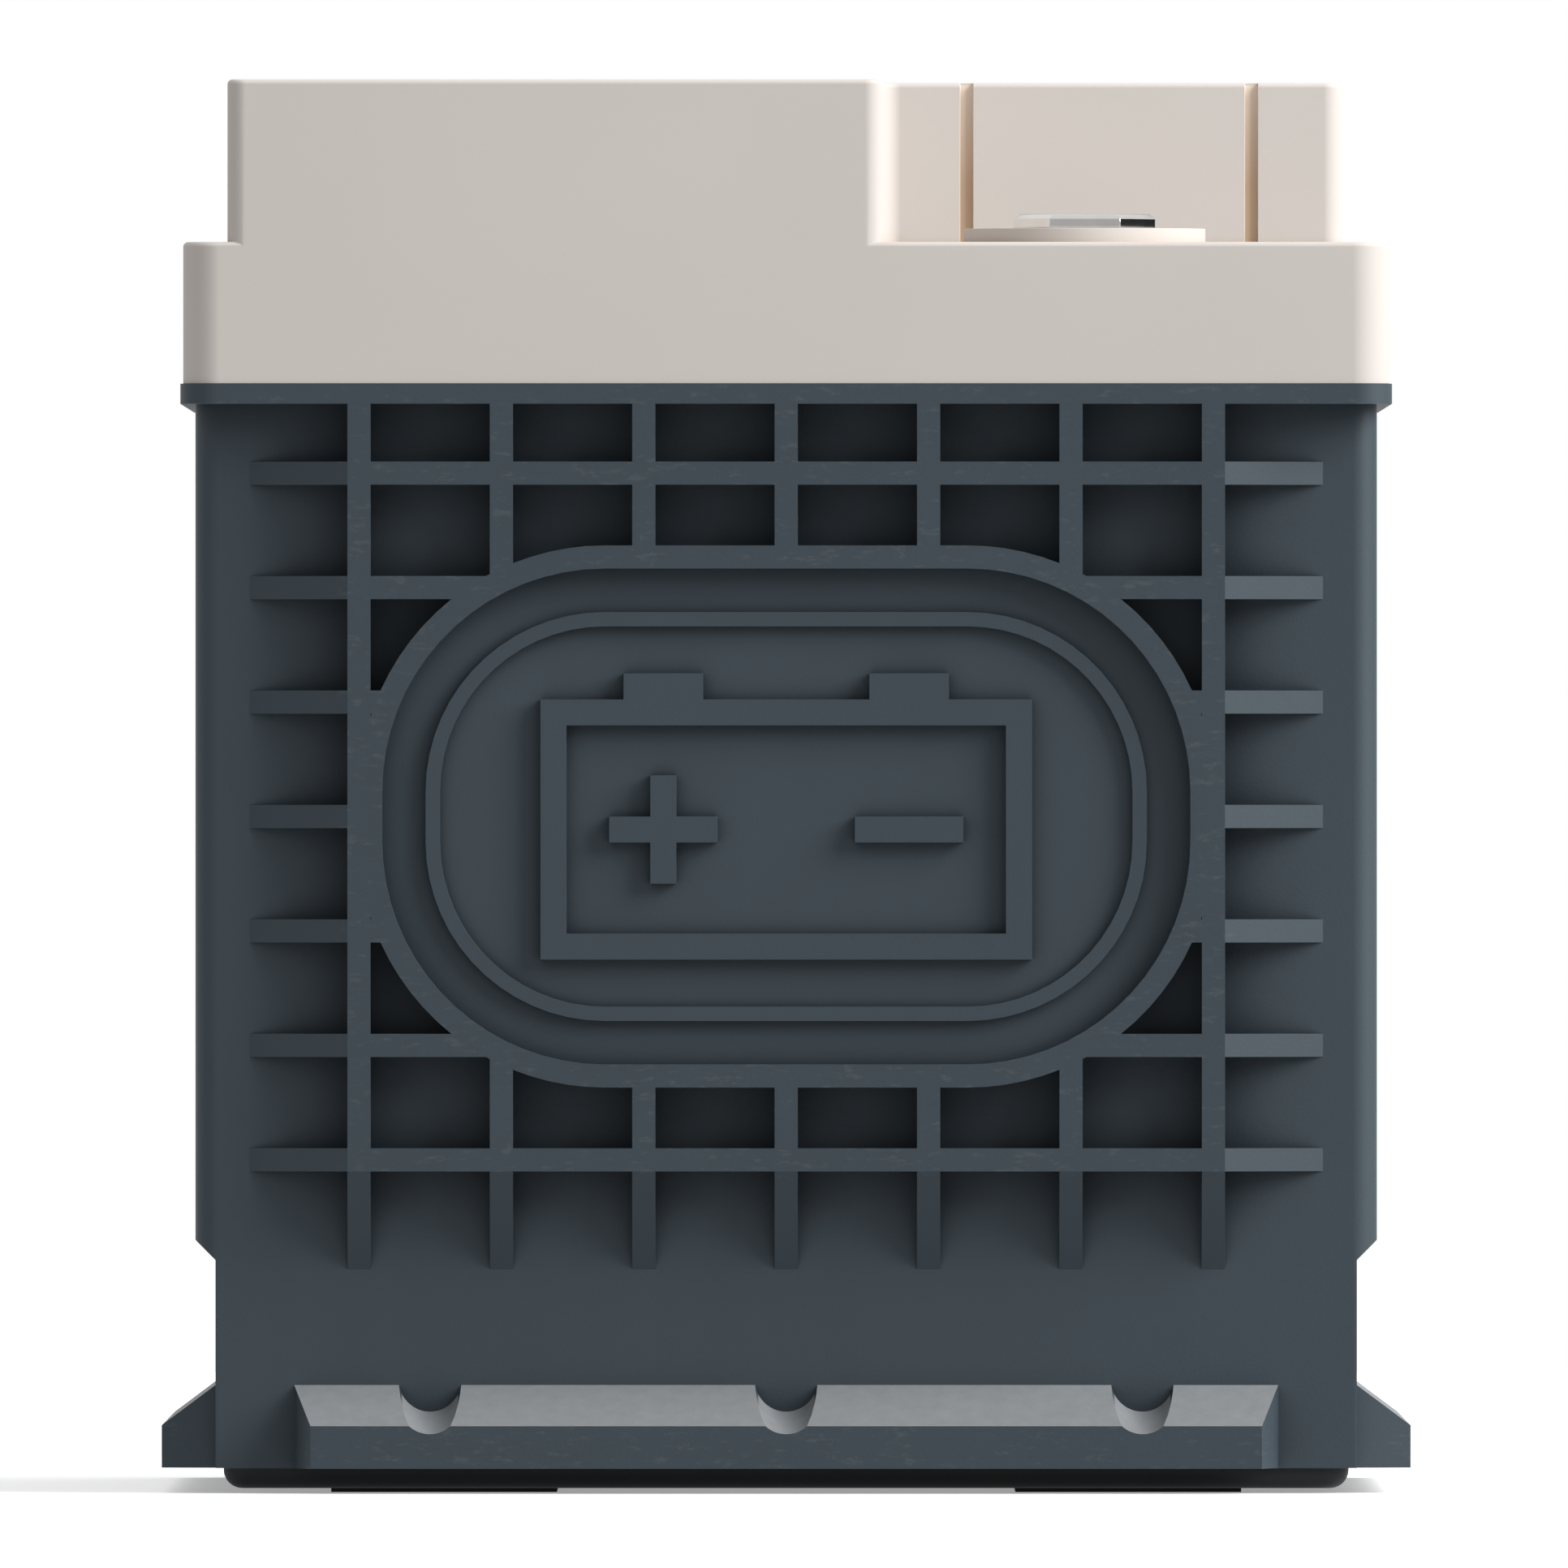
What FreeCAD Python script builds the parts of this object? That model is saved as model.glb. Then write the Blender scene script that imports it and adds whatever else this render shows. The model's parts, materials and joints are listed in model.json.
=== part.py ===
"""Sealed lead-acid battery with six cells in a row and two screw-on terminals.

Millimetres, +Z up. The origin is on the ground under the middle of the battery.
X runs across the battery and Y along it. Cell 1 and the positive terminal are at the -Y end,
and both terminals stand in corner recesses of the lid on the +X side.
"""

import FreeCAD, Part
import math
import os

Vector = FreeCAD.Vector
ORIGIN = Vector(0, 0, 0)
ACROSS = Vector(1, 0, 0)
ALONG = Vector(0, 1, 0)
UP = Vector(0, 0, 1)

# --- Overall size ---
WIDTH = 173.0                  # over the side ledges
LENGTH = 260.0                 # over the end ledges
HEIGHT = 195.6                 # from the ground to the top of the lid

# --- Container: walls, rim and foot ---
CELLS = 6
SIDE_LEDGE_REACH = 4.7         # side ledge beyond the side wall
END_LEDGE_REACH = 10.4         # end ledge beyond the end wall
SIDE_RELIEF = 2.8              # depth of the clamp recess and of the side pockets
SIDE_THICKNESS = 2.6           # side wall behind the relief
END_THICKNESS = 3.0
PARTITION = 2.0
FLOOR = 3.4
WALL_CORNER = 3.3
SIDE_RIM_LIP = 2.05            # rim beyond the side wall
RIM_HEIGHT = 2.8
RIM_CORNER = 5.0
FOOT_HEIGHT = 2.8
FOOT_SET_BACK = 1.1
FOOT_EDGE = 2.6
PAD_HEIGHT = 0.6
PAD_WIDTH = 31.3
PAD_CENTRE = 47.4
PAD_END_GAP = 9.0

# --- Container: hold-down ledges ---
LEDGE_FACE = 5.9               # height of a ledge's upright outer face
LEDGE_RISE = 5.6               # rise of its slope up to the wall
CLAMP_RECESS = 17.3            # height of the recess over a side ledge
END_LEDGE_GAP = 13.7           # from an end ledge's end to the side wall
SIDE_LEDGE_GAP = 3.6           # from a side ledge's end to the end wall
LEDGE_DRAFT = 2.3              # a ledge's outer face is shorter by this at each end
NOTCH_RADIUS = 4.4
NOTCH_PITCH = 49.3
NOTCH_WALL_Z = 11.2            # height of a notch's bottom at the wall
NOTCH_FACE_Z = 8.2             # and at the ledge's outer face

# --- Container: end lattice, plaque and side pockets ---
END_RIB = 7.5                  # height of the lattice off the end wall, flush with the rim
RIB_WIDTH = 3.2
LATTICE_RIBS = 7               # in each direction
LATTICE_SIDE_GAP = 22.7        # outer upright rib's centre to the side wall
LATTICE_TOP_GAP = 12.4         # top level rib's centre to the rim's top
LATTICE_BOTTOM_Z = 46.1
RIB_RUN_OUT = 13.6             # length over which a rib's end slopes down to the wall
PLAQUE_HEIGHT = 75.0           # its sides run into the lattice's outer ribs
PLAQUE_CORNER = 34.0
PLAQUE_BORDER = 3.2
PLAQUE_DEPTH = 3.4             # the plaque's field below its border
EMBLEM_RISE = 2.2
RING_GAP = 6.0                 # from the plaque's border to the thin ring inside it
RING_LINE = 2.0
RING_RISE = 1.6
EMBLEM_WIDTH = 68.0
EMBLEM_HEIGHT = 36.0
EMBLEM_LINE = 3.6
EMBLEM_STUD = 11.0
EMBLEM_SIGN = 15.0
SIDE_TOP_BAND = 6.0            # plain band between the side pockets and the rim
SIDE_END_BAND = 10.0
LABEL_HEIGHT = 68.0
LABEL_TOP_GAP = 14.0

# --- Lid ---
LID_SET_BACK = 0.4             # lid's side and end faces behind the rim
LID_LOWER = 19.6               # height of the lid's lower section
LID_RAISED = 22.5              # height of its raised section
LID_SHOULDER = 6.15            # lower section beyond the raised one, on each side
LID_WALL = 3.0
LID_CORNER = 5.0
LID_EDGE = 0.7
RAISED_CORNER = 2.5
RECESS_WIDTH = 63.9            # terminal recess, across
RECESS_DEPTH = 56.05           # and along
GUIDE_WIDTH = 1.8              # slots in the recess's back wall for a terminal cover
GUIDE_DEPTH = 1.0
GUIDE_OFFSETS = (11.7, 51.3)   # from the recess's inner wall
SIGN_OFFSET = 28.0             # polarity sign beyond the terminal's axis
SIGN_LENGTH = 10.0
SIGN_LINE = 2.2
SIGN_DEPTH = 0.6
TROUGH_WIDTH = 34.0
TROUGH_END = 13.0              # trough beyond the last valve's centre
TROUGH_DEPTH = 10.6
TROUGH_CORNER = 4.0
TROUGH_LEDGE = 1.5             # width of the rebate that carries the vent cover
COVER_THICKNESS = 2.5
COVER_GAP = 0.2
CHIMNEY_RADIUS = 5.0
CHIMNEY_BORE = 2.0
CHIMNEY_HEIGHT = 4.0

# --- Valves and flame arrestors ---
VALVE_CLEARANCE = 0.05
VALVE_SKIRT = 1.5
VALVE_SKIRT_LENGTH = 3.0
VALVE_TOP = 1.5
ARRESTOR_RADIUS = 6.0
ARRESTOR_THICKNESS = 1.5
ARRESTOR_VENT = 1.0
ARRESTOR_FROM_END = 6.5        # its centre from the trough's end

# --- Terminals ---
TERMINAL_SET_IN = 28.0         # terminal's axis from the recess's inner and back walls
PLINTH_RADIUS = 16.75
PLINTH_HEIGHT = 2.0
HEX_FLATS = 17.0
HEX_HEIGHT = 2.0
HEX_BEVEL = 0.65               # straight bevel round the top face
SHANK_RADIUS = 7.9
THREAD_RADIUS = 2.5
THREAD_DEPTH = 12.0
INSERT_CLEARANCE = 0.05
BOSS_RADIUS = 13.0
BOSS_DROP = 4.0
SEAL_RADIUS = 11.0
SEAL_THICKNESS = 2.5
COLLAR_SOCKET = 2.6            # depth to which the terminal's shank sits in the post
COLLAR_FLOOR = 2.4
COLLAR_ROOM = 1.0              # free space kept round the collar inside the lid
POST_RADIUS = 7.5

# --- Plates, straps and welds ---
POSITIVE_PLATES = 6            # in each cell; there is one negative plate more
POSITIVE_THICKNESS = 2.0
NEGATIVE_THICKNESS = 1.5
STACK_GAP = 2.0                # from the stack to the partitions
PLATE_SIDE_GAP = 2.0
PLATE_FLOOR_GAP = 2.0
PLATE_HEAD = 28.5              # from the plates' top to the rim's top
SEPARATOR_SIDE_GAP = 0.9
SEPARATOR_RISE = 2.0
LUG_WIDTH = 12.0
LUG_RISE = 5.0
STRAP_WIDTH = 18.0
STRAP_THICKNESS = 8.0
STRAP_GAP = 1.0
TAB_THICKNESS = 3.5
TAB_RISE = 12.0
WELD_RADIUS = 5.0
WELD_CLEARANCE = 0.05

# --- Places worked out from the sizes above ---
LEDGE_BOTTOM = PAD_HEIGHT + FOOT_HEIGHT
LEDGE_TOP = LEDGE_BOTTOM + LEDGE_FACE + LEDGE_RISE
RIM_TOP = HEIGHT - LID_LOWER - LID_RAISED
RIM_BOTTOM = RIM_TOP - RIM_HEIGHT
LID_STEP = RIM_TOP + LID_LOWER

WALL_X = WIDTH / 2 - SIDE_LEDGE_REACH
WALL_Y = LENGTH / 2 - END_LEDGE_REACH
RELIEF_X = WALL_X - SIDE_RELIEF
RIM_X = WALL_X + SIDE_RIM_LIP
RIM_Y = WALL_Y + END_RIB
INNER_X = RELIEF_X - SIDE_THICKNESS
INNER_Y = WALL_Y - END_THICKNESS
FLOOR_Z = PAD_HEIGHT + FLOOR

LATTICE_X = WALL_X - LATTICE_SIDE_GAP
LATTICE_TOP = RIM_TOP - LATTICE_TOP_GAP
PLAQUE_Z = (LATTICE_TOP + LATTICE_BOTTOM_Z) / 2

CELL_LENGTH = (2 * INNER_Y - (CELLS - 1) * PARTITION) / CELLS
CELL_PITCH = CELL_LENGTH + PARTITION
CELL_CENTRES = [CELL_PITCH * (i - (CELLS - 1) / 2) for i in range(CELLS)]

LID_X = RIM_X - LID_SET_BACK
LID_Y = RIM_Y - LID_SET_BACK
RAISED_X = LID_X - LID_SHOULDER
RECESS_X = RAISED_X - RECESS_WIDTH
RECESS_Y = LID_Y - RECESS_DEPTH
TERMINAL_X = RECESS_X + TERMINAL_SET_IN
TERMINAL_Y = RECESS_Y + TERMINAL_SET_IN
TROUGH_X = (RECESS_X - RAISED_X) / 2
TROUGH_Y = CELL_CENTRES[-1] + TROUGH_END
TROUGH_Z = HEIGHT - TROUGH_DEPTH
CHIMNEY_TOP = TROUGH_Z + CHIMNEY_HEIGHT

PLINTH_TOP = LID_STEP + PLINTH_HEIGHT
BOSS_Z = LID_STEP - LID_WALL - BOSS_DROP
COLLAR_TOP = BOSS_Z - SEAL_THICKNESS
SHANK_Z = COLLAR_TOP - COLLAR_SOCKET
PLATE_TOP = RIM_TOP - PLATE_HEAD
STRAP_Z = PLATE_TOP + LUG_RISE
STRAP_TOP = STRAP_Z + STRAP_THICKNESS
WELD_Z = STRAP_TOP + TAB_RISE / 2


def box(x, y, z):
    """Block between two values along each axis, each given as a (low, high) pair."""
    size = [high - low for low, high in (x, y, z)]
    return Part.makeBox(*size, Vector(x[0], y[0], z[0]))


def prism(points, run):
    """Closed outline of (x, y, z) points, carried along a vector."""
    outline = [Vector(*point) for point in points]
    return Part.Face(Part.makePolygon(outline + outline[:1])).extrude(Vector(*run))


def disc(radius, z, x=0.0, y=0.0):
    """Round bar along Z, between a (low, high) pair of heights."""
    return Part.makeCylinder(radius, z[1] - z[0], Vector(x, y, z[0]), UP)


def round_uprights(solid, radius):
    """Round every edge of a prism that runs along Z."""
    uprights = [edge for edge in solid.Edges if abs(edge.tangentAt(edge.FirstParameter).z) > 0.99]
    return solid.makeFillet(radius, uprights)


def level_edges(solid, z):
    """Edges of a solid that lie in the plane at height z."""
    return [edge for edge in solid.Edges if abs(edge.BoundBox.ZMin - z) < 1e-4
            and abs(edge.BoundBox.ZMax - z) < 1e-4]


def round_level(solid, radius, z):
    """Round the edges of a solid that lie in the plane at height z."""
    return solid.makeFillet(radius, level_edges(solid, z))


def slab(half_x, half_y, z, corner):
    """Block centred on the Z axis with rounded upright edges."""
    return round_uprights(box((-half_x, half_x), (-half_y, half_y), z), corner)


def join(first, others):
    """Fuse shapes into one and drop the seams between them."""
    return first.multiFuse(others).removeSplitter()


def turned(shape, degrees):
    """Copy of a shape, turned about the Z axis."""
    copy = shape.copy()
    copy.rotate(ORIGIN, UP, degrees)
    return copy


def both_ends(shape):
    """The shape and its copy at the other end."""
    return [shape, turned(shape, 180)]


def cell_span(index):
    """Low and high Y of a cell's hollow."""
    centre = CELL_CENTRES[index]
    return centre - CELL_LENGTH / 2, centre + CELL_LENGTH / 2


# --- Container ---

def ledge(wall, reach, half_width):
    """Hold-down ledge on the +X side of a wall at x = wall, tapered at both ends."""
    root = wall - 1.0
    face = wall + reach
    face_top = LEDGE_BOTTOM + LEDGE_FACE
    section = [(root, 0, LEDGE_BOTTOM), (face, 0, LEDGE_BOTTOM), (face, 0, face_top),
               (wall, 0, LEDGE_TOP), (root, 0, LEDGE_TOP)]
    bar = prism(section, (0, 2 * half_width, 0))
    bar.translate(Vector(0, -half_width, 0))
    short = half_width - LEDGE_DRAFT
    plan = prism([(root, -half_width, 0), (wall, -half_width, 0), (face, -short, 0),
                  (face, short, 0), (wall, half_width, 0), (root, half_width, 0)],
                 (0, 0, LEDGE_TOP))
    return bar.common(plan)


def notched_ledge():
    """End ledge with three round notches that fall away from the wall, on the +X side."""
    bar = ledge(WALL_Y, END_LEDGE_REACH, WALL_X - END_LEDGE_GAP)
    fall = NOTCH_WALL_Z - NOTCH_FACE_Z
    slope = Vector(END_LEDGE_REACH, 0, -fall)
    lift = NOTCH_RADIUS * slope.Length / END_LEDGE_REACH
    start = Vector(WALL_Y, 0, NOTCH_WALL_Z + lift)
    for step in (-1, 0, 1):
        place = start + Vector(0, step * NOTCH_PITCH, 0)
        bar = bar.cut(Part.makeCylinder(NOTCH_RADIUS, 2 * slope.Length, place, slope))
    return turned(bar, -90)


def end_lattice():
    """Ribs on the -Y end wall. Their ends slope down to the wall, and the tops run into the rim."""
    face = -RIM_Y
    wall = -WALL_Y
    root = wall + 1.0
    half = RIB_WIDTH / 2
    low = LATTICE_BOTTOM_Z - half
    wide = LATTICE_X + half
    ribs = []
    for i in range(LATTICE_RIBS):
        share = i / (LATTICE_RIBS - 1)
        z = LATTICE_BOTTOM_Z + share * (LATTICE_TOP - LATTICE_BOTTOM_Z) - half
        level = [(-wide - RIB_RUN_OUT, root, z), (-wide - RIB_RUN_OUT, wall, z), (-wide, face, z),
                 (wide, face, z), (wide + RIB_RUN_OUT, wall, z), (wide + RIB_RUN_OUT, root, z)]
        ribs.append(prism(level, (0, 0, RIB_WIDTH)))
        x = LATTICE_X * (2 * share - 1) - half
        upright = [(x, root, low - RIB_RUN_OUT), (x, wall, low - RIB_RUN_OUT), (x, face, low),
                   (x, face, RIM_BOTTOM + half), (x, root, RIM_BOTTOM + half)]
        ribs.append(prism(upright, (RIB_WIDTH, 0, 0)))
    return ribs


def plate_block(half_x, half_z, corner, y):
    """Block with rounded corners, facing along Y and centred at the plaque's height."""
    block = slab(half_x, half_z, y, corner)
    block.rotate(ORIGIN, ACROSS, 90)
    block.translate(Vector(0, 0, PLAQUE_Z))
    return block


def plaque():
    """Border, sunk field, thin ring and plain battery sign on the -Y end, as (added, cut, raised)."""
    half_z = PLAQUE_HEIGHT / 2
    block = plate_block(LATTICE_X, half_z, PLAQUE_CORNER, (WALL_Y - 1.0, RIM_Y))
    field = plate_block(LATTICE_X - PLAQUE_BORDER, half_z - PLAQUE_BORDER,
                        PLAQUE_CORNER - PLAQUE_BORDER, (RIM_Y - PLAQUE_DEPTH, RIM_Y + 1.0))
    gap = PLAQUE_BORDER + RING_GAP
    line = gap + RING_LINE
    ring_y = (RIM_Y - PLAQUE_DEPTH - 0.5, RIM_Y - PLAQUE_DEPTH + RING_RISE)
    outer = plate_block(LATTICE_X - gap, half_z - gap, PLAQUE_CORNER - gap, ring_y)
    inner = plate_block(LATTICE_X - line, half_z - line, PLAQUE_CORNER - line, ring_y)
    return block, field, [outer.cut(inner)] + emblem()


def emblem():
    """Outline of a battery with two studs, a plus and a minus."""
    face = -RIM_Y + PLAQUE_DEPTH
    depth = (face - EMBLEM_RISE, face + 0.5)
    left, right = -EMBLEM_WIDTH / 2, EMBLEM_WIDTH / 2
    low = PLAQUE_Z - (EMBLEM_HEIGHT + EMBLEM_LINE) / 2
    high = low + EMBLEM_HEIGHT
    line = EMBLEM_LINE
    frame = box((left, right), depth, (low, high))
    frame = frame.cut(box((left + line, right - line), depth, (low + line, high - line)))
    parts = []
    middle = (low + high) / 2
    for side in (-1, 1):
        x = side * EMBLEM_WIDTH / 4
        parts.append(box((x - EMBLEM_STUD / 2, x + EMBLEM_STUD / 2), depth, (high - 0.5, high + line)))
        parts.append(box((x - EMBLEM_SIGN / 2, x + EMBLEM_SIGN / 2), depth,
                         (middle - line / 2, middle + line / 2)))
    x = -EMBLEM_WIDTH / 4
    parts.append(box((x - line / 2, x + line / 2), depth,
                     (middle - EMBLEM_SIGN / 2, middle + EMBLEM_SIGN / 2)))
    return [frame] + parts


def side_relief():
    """What is cut from the +X side: the clamp recess, the pockets between ribs, the label's bed."""
    out = WALL_X + 1.0
    top = LEDGE_TOP + CLAMP_RECESS
    recess = prism([(RELIEF_X, -LENGTH, 0), (out + 4, -LENGTH, 0),
                    (out + 4, -LENGTH, top + SIDE_RELIEF + 5), (RELIEF_X, -LENGTH, top)],
                   (0, 2 * LENGTH, 0))
    pocket_top = RIM_BOTTOM - SIDE_TOP_BAND
    pitch = CELL_PITCH / 2
    half = RIB_WIDTH / 2
    end = WALL_Y - SIDE_END_BAND
    columns = []
    for i in range(-CELLS, CELLS):
        low = max(i * pitch + half, -end)
        high = min((i + 1) * pitch - half, end)
        columns.append(box((RELIEF_X, out), (low, high), (top - 1.0, pocket_top)))
    label_y = (CELLS // 2) * pitch
    label_top = pocket_top - LABEL_TOP_GAP
    label_z = (label_top - LABEL_HEIGHT, label_top)
    border = box((RELIEF_X, out), (-label_y - half, label_y + half),
                 (label_z[0] - RIB_WIDTH, label_z[1] + RIB_WIDTH))
    bed = box((RELIEF_X, out), (-label_y + half, label_y - half), label_z)
    return [recess, bed] + [column.cut(border) for column in columns]


def make_container():
    body = slab(WALL_X, WALL_Y, (LEDGE_BOTTOM, RIM_TOP), WALL_CORNER)
    relief = side_relief()
    body = body.cut(relief + [turned(cutter, 180) for cutter in relief])
    foot = slab(RELIEF_X - FOOT_SET_BACK, WALL_Y - FOOT_SET_BACK, (PAD_HEIGHT, LEDGE_BOTTOM),
                WALL_CORNER)
    foot = round_level(foot, FOOT_EDGE, PAD_HEIGHT)
    rim = slab(RIM_X, RIM_Y, (RIM_BOTTOM, RIM_TOP), RIM_CORNER)
    side_ledge = ledge(RELIEF_X, WIDTH / 2 - RELIEF_X, WALL_Y - SIDE_LEDGE_GAP)
    pad_y = WALL_Y - FOOT_SET_BACK - PAD_END_GAP
    pads = [box((x - PAD_WIDTH / 2, x + PAD_WIDTH / 2), (-pad_y, pad_y), (0, PAD_HEIGHT + 0.5))
            for x in (-PAD_CENTRE, PAD_CENTRE)]
    block, field, sign = plaque()
    added = [foot, rim] + pads
    for piece in [side_ledge, notched_ledge(), block] + end_lattice():
        added += both_ends(piece)
    body = join(body, added)
    body = body.cut(both_ends(field))
    body = join(body, [copy for piece in sign for copy in both_ends(piece)])
    hollows = [box((-INNER_X, INNER_X), cell_span(i), (FLOOR_Z, RIM_TOP + 1.0)) for i in range(CELLS)]
    holes = [weld_bar(i, WELD_RADIUS + WELD_CLEARANCE) for i in range(CELLS - 1)]
    return body.cut(hollows + holes)


# --- Lid and vent cover ---

def raised_plan(inset, z):
    """Raised section with both terminal recesses left out, drawn in by an inset."""
    left = -RAISED_X + inset
    right = RAISED_X - inset
    inner = RECESS_X - inset
    end = LID_Y - inset
    back = RECESS_Y - inset
    outline = [(left, -end), (inner, -end), (inner, -back), (right, -back),
               (right, back), (inner, back), (inner, end), (left, end)]
    return prism([(x, y, z[0]) for x, y in outline], (0, 0, z[1] - z[0]))


def trough(grow, z):
    """Block over the row of valves, larger than the trough by a margin."""
    half = TROUGH_WIDTH / 2 + grow
    end = TROUGH_Y + grow
    block = box((TROUGH_X - half, TROUGH_X + half), (-end, end), z)
    return round_uprights(block, TROUGH_CORNER + grow)


def lid_span(index):
    """Low and high Y of the head space over a cell; the end ones reach the lid's end walls."""
    low, high = cell_span(index)
    end = LID_Y - LID_WALL
    return -end if index == 0 else low, end if index == CELLS - 1 else high


def lid_hollows():
    """Head space over each cell."""
    wide = LID_X - LID_WALL
    ceiling = HEIGHT - LID_WALL
    step = LID_STEP - LID_WALL
    spaces = []
    beside = TROUGH_WIDTH / 2 + LID_WALL
    raised = raised_plan(LID_WALL, (step - 1.0, ceiling))
    raised = raised.cut(box((TROUGH_X - beside, TROUGH_X + beside), (-LENGTH, LENGTH),
                            (TROUGH_Z - LID_WALL, HEIGHT)))
    for i in range(CELLS):
        span = lid_span(i)
        low = box((-wide, wide), span, (RIM_TOP - 1.0, step))
        high = raised.common(box((-WIDTH, WIDTH), span, (step - 1.0, HEIGHT)))
        spaces.append(low.fuse(high))
    return spaces


def polarity_signs():
    """Cutters for a plus beside the positive terminal and a minus beside the negative one."""
    x = TERMINAL_X + SIGN_OFFSET
    depth = (LID_STEP - SIGN_DEPTH, LID_STEP + 1.0)
    half = SIGN_LENGTH / 2
    line = SIGN_LINE / 2
    bars = [box((x - line, x + line), (y - half, y + half), depth) for y in (-TERMINAL_Y, TERMINAL_Y)]
    cross = box((x - half, x + half), (-TERMINAL_Y - line, -TERMINAL_Y + line), depth)
    return bars + [cross]


def make_lid():
    lower = slab(LID_X, LID_Y, (RIM_TOP, LID_STEP), LID_CORNER)
    lower = round_level(lower, LID_EDGE, LID_STEP)
    raised = round_uprights(raised_plan(0.0, (LID_STEP - LID_EDGE, HEIGHT)), RAISED_CORNER)
    raised = round_level(raised, LID_EDGE, HEIGHT)
    lid = join(lower, [raised])
    lid = lid.cut(lid_hollows())
    added = []
    removed = [trough(0.0, (HEIGHT - COVER_THICKNESS, HEIGHT + 1.0)),
               trough(-TROUGH_LEDGE, (TROUGH_Z, HEIGHT))] + polarity_signs()
    for end in (-1, 1):
        y = end * TERMINAL_Y
        added.append(disc(PLINTH_RADIUS, (LID_STEP - 1.0, PLINTH_TOP), TERMINAL_X, y))
        added.append(disc(BOSS_RADIUS, (BOSS_Z, LID_STEP - 1.0), TERMINAL_X, y))
        removed.append(disc(SHANK_RADIUS + INSERT_CLEARANCE, (BOSS_Z - 1.0, PLINTH_TOP + 1.0),
                            TERMINAL_X, y))
        removed.append(disc(SEAL_RADIUS + COLLAR_ROOM, (RIM_TOP - 1.0, BOSS_Z), TERMINAL_X, y))
        back = end * RECESS_Y
        deep = back - end * GUIDE_DEPTH
        for offset in GUIDE_OFFSETS:
            x = RECESS_X + offset
            removed.append(box((x - GUIDE_WIDTH / 2, x + GUIDE_WIDTH / 2),
                               sorted((deep, back + end)), (LID_STEP, HEIGHT + 1.0)))
    lid = join(lid, added).cut(removed)
    chimneys = [disc(CHIMNEY_RADIUS, (TROUGH_Z - 1.0, CHIMNEY_TOP), TROUGH_X, y) for y in CELL_CENTRES]
    bores = [disc(CHIMNEY_BORE, (TROUGH_Z - 2 * LID_WALL, CHIMNEY_TOP + 1.0), TROUGH_X, y)
             for y in CELL_CENTRES]
    return join(lid, chimneys).cut(bores)


def arrestor_places():
    """Centres of the flame arrestors, at the -Y end and at the +Y end."""
    y = TROUGH_Y - ARRESTOR_FROM_END - TROUGH_LEDGE
    return [(TROUGH_X, -y), (TROUGH_X, y)]


def make_vent_cover():
    """Flush cover over the valves, with a small vent over each flame arrestor."""
    under = HEIGHT - COVER_THICKNESS
    cover = trough(-COVER_GAP, (under, HEIGHT))
    for x, y in arrestor_places():
        bed = disc(ARRESTOR_RADIUS + INSERT_CLEARANCE, (under - 1.0, under + ARRESTOR_THICKNESS), x, y)
        vent = disc(ARRESTOR_VENT, (under, HEIGHT + 1.0), x, y)
        cover = cover.cut([bed, vent])
    return cover


def make_arrestor(x, y):
    under = HEIGHT - COVER_THICKNESS
    return disc(ARRESTOR_RADIUS, (under, under + ARRESTOR_THICKNESS), x, y)


def make_valve_cap(y):
    """Rubber cap that sits on a chimney and lifts to let gas out."""
    bore = CHIMNEY_RADIUS + VALVE_CLEARANCE
    skirt = CHIMNEY_TOP - VALVE_SKIRT_LENGTH
    cap = disc(bore + VALVE_SKIRT, (skirt, CHIMNEY_TOP + VALVE_TOP), TROUGH_X, y)
    return cap.cut(disc(bore, (skirt - 1.0, CHIMNEY_TOP), TROUGH_X, y))


# --- Terminals ---

def make_terminal(y):
    """Threaded hexagonal insert, one flat towards the battery's end."""
    top = PLINTH_TOP + HEX_HEIGHT
    corner = HEX_FLATS / 2 / math.cos(math.pi / 6)
    corners = [(TERMINAL_X + corner * math.cos(math.pi / 3 * i), y + corner * math.sin(math.pi / 3 * i),
                PLINTH_TOP) for i in range(6)]
    head = prism(corners, (0, 0, HEX_HEIGHT))
    head = head.makeChamfer(HEX_BEVEL, level_edges(head, top))
    shank = disc(SHANK_RADIUS, (SHANK_Z, PLINTH_TOP + HEX_HEIGHT / 2), TERMINAL_X, y)
    thread = disc(THREAD_RADIUS, (top - THREAD_DEPTH, top + 1.0), TERMINAL_X, y)
    return join(head, [shank]).cut(thread)


def make_post(y):
    """Lead post from the strap up to a collar that holds the terminal's shank."""
    collar_z = SHANK_Z - COLLAR_FLOOR
    post = disc(POST_RADIUS, (STRAP_TOP, collar_z + 1.0), TERMINAL_X, y)
    collar = disc(SEAL_RADIUS, (collar_z, COLLAR_TOP), TERMINAL_X, y)
    socket = disc(SHANK_RADIUS + INSERT_CLEARANCE, (SHANK_Z, COLLAR_TOP + 1.0), TERMINAL_X, y)
    return join(post, [collar]).cut(socket)


def make_seal(y):
    """Flat ring squeezed between the post's collar and the lid's boss."""
    ring = disc(SEAL_RADIUS, (COLLAR_TOP, BOSS_Z), TERMINAL_X, y)
    return ring.cut(disc(SHANK_RADIUS + INSERT_CLEARANCE, (SHANK_Z, BOSS_Z + 1.0), TERMINAL_X, y))


# --- Cells ---

def plate_side(index):
    """Side of the battery on which a cell's positive strap lies: the straps swap sides cell by cell."""
    return 1 if index % 2 == 0 else -1


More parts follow.
